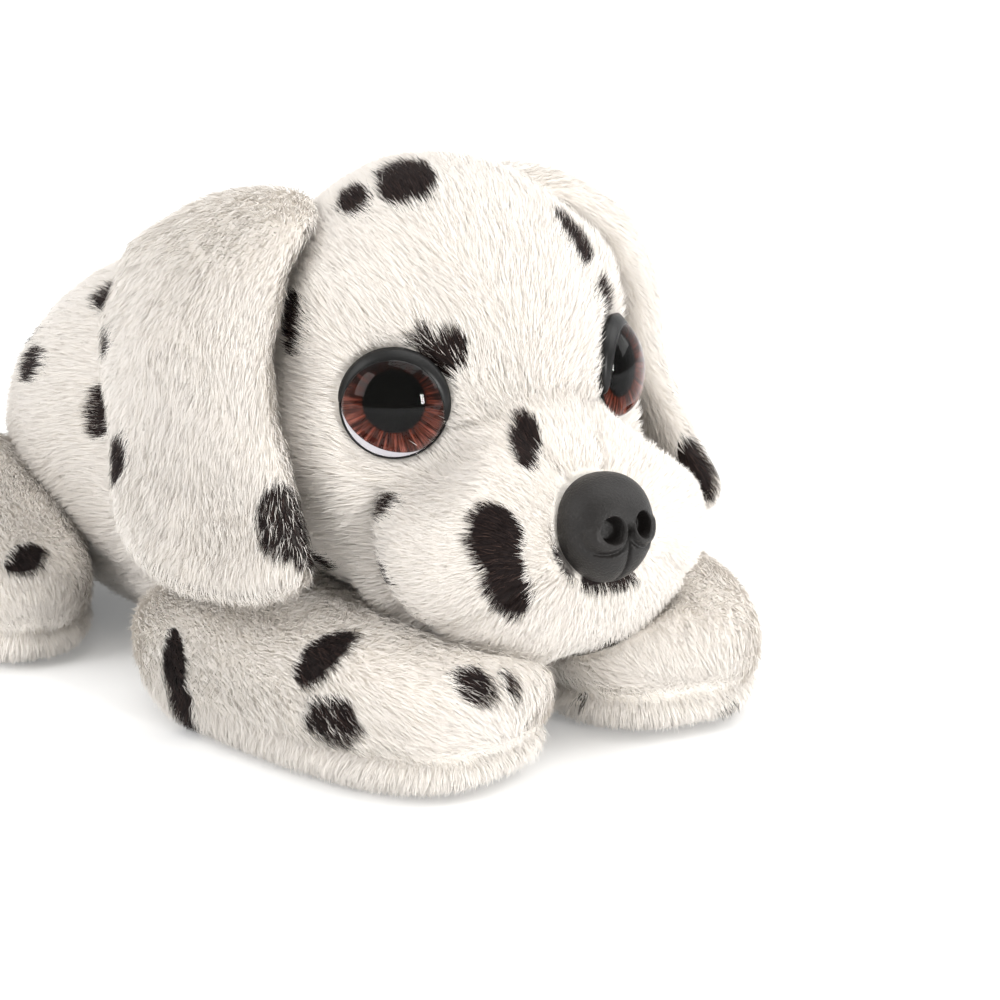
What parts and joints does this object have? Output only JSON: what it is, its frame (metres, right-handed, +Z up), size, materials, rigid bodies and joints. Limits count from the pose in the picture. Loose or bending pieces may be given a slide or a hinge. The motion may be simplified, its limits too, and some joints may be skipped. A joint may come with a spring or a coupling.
{
  "type": "plush toy dog",
  "caption": "Soft plush puppy lying on its belly, cream with dark brown spots, large domed eyes, moulded nose, floppy ears and sprawled paws.",
  "frame": {"origin": "on the belly's flat underside, midway between the fore and hind legs", "axes": "+Z up, nose towards -Y, the puppy's left side at +X"},
  "size_m": [0.221, 0.3543, 0.153],
  "materials": {
    "plush": "dense short-pile cream plush with dark brown spots",
    "stuffing": "polyester fibre filling",
    "pellets": "cloth bag of plastic pellets",
    "eye_dome": "clear glossy moulded dome",
    "iris": "printed red-brown iris with a black pupil",
    "eye_black": "black moulded plastic, semi-gloss",
    "nose": "charcoal moulded nose, satin",
    "washer": "white locking washer"
  },
  "bodies": {
    "torso": {"back_panel_left": "plush", "back_panel_right": "plush", "belly_panel": "plush", "torso_stuffing": "stuffing", "pellet_pouch": "pellets"},
    "head": {"crown_panel": "plush", "muzzle_bridge_panel": "plush", "chin_panel": "plush", "face_side_left": "plush", "face_side_right": "plush", "muzzle_side_left": "plush", "muzzle_side_right": "plush", "head_stuffing": "stuffing", "nose_moulding": "nose", "nose_washer": "washer", "eye_lens_left": "eye_dome", "iris_disc_left": "iris", "eye_back_left": "eye_black", "eyelid_left": "eye_black", "eye_washer_left": "washer", "eye_lens_right": "eye_dome", "iris_disc_right": "iris", "eye_back_right": "eye_black", "eyelid_right": "eye_black", "eye_washer_right": "washer"},
    "tail": {"tail_cover": "plush", "tail_stuffing": "stuffing"},
    "ear_left": {"ear_left_outer": "plush", "ear_left_lining": "plush"},
    "foreleg_left": {"foreleg_left_cover": "plush", "foreleg_left_sole": "plush", "foreleg_left_stuffing": "stuffing"},
    "hindleg_left": {"hindleg_left_cover": "plush", "hindleg_left_sole": "plush", "hindleg_left_stuffing": "stuffing"},
    "ear_right": {"ear_right_outer": "plush", "ear_right_lining": "plush"},
    "foreleg_right": {"foreleg_right_cover": "plush", "foreleg_right_sole": "plush", "foreleg_right_stuffing": "stuffing"},
    "hindleg_right": {"hindleg_right_cover": "plush", "hindleg_right_sole": "plush", "hindleg_right_stuffing": "stuffing"}
  },
  "joints": [
    {"name": "head_nod", "type": "hinge", "parent": "torso", "child": "head", "pos_m": [0, -0.08, 0.096], "axis": [-1, 0, 0], "range_deg": [0, 14]},
    {"name": "ear_left_flop", "type": "hinge", "parent": "head", "child": "ear_left", "pos_m": [0.03, -0.06, 0.144], "axis": [0, -1, 0], "range_deg": [0, 80]},
    {"name": "foreleg_left_splay", "type": "hinge", "parent": "torso", "child": "foreleg_left", "pos_m": [0.058, -0.05, 0.022], "axis": [0, 0, 1], "range_deg": [0, 12]},
    {"name": "hindleg_left_splay", "type": "hinge", "parent": "torso", "child": "hindleg_left", "pos_m": [0.082, 0.1, 0.025], "axis": [0, 0, 1], "range_deg": [0, 25]},
    {"name": "ear_right_flop", "type": "hinge", "parent": "head", "child": "ear_right", "pos_m": [-0.03, -0.06, 0.144], "axis": [0, 1, 0], "range_deg": [0, 80]},
    {"name": "foreleg_right_splay", "type": "hinge", "parent": "torso", "child": "foreleg_right", "pos_m": [-0.058, -0.05, 0.022], "axis": [0, 0, -1], "range_deg": [0, 12]},
    {"name": "hindleg_right_splay", "type": "hinge", "parent": "torso", "child": "hindleg_right", "pos_m": [-0.082, 0.1, 0.025], "axis": [0, 0, -1], "range_deg": [0, 25]},
    {"name": "tail_wag", "type": "hinge", "parent": "torso", "child": "tail", "pos_m": [0, 0.134, 0.042], "axis": [0, 0, 1], "range_deg": [-35, 35]}
  ]
}
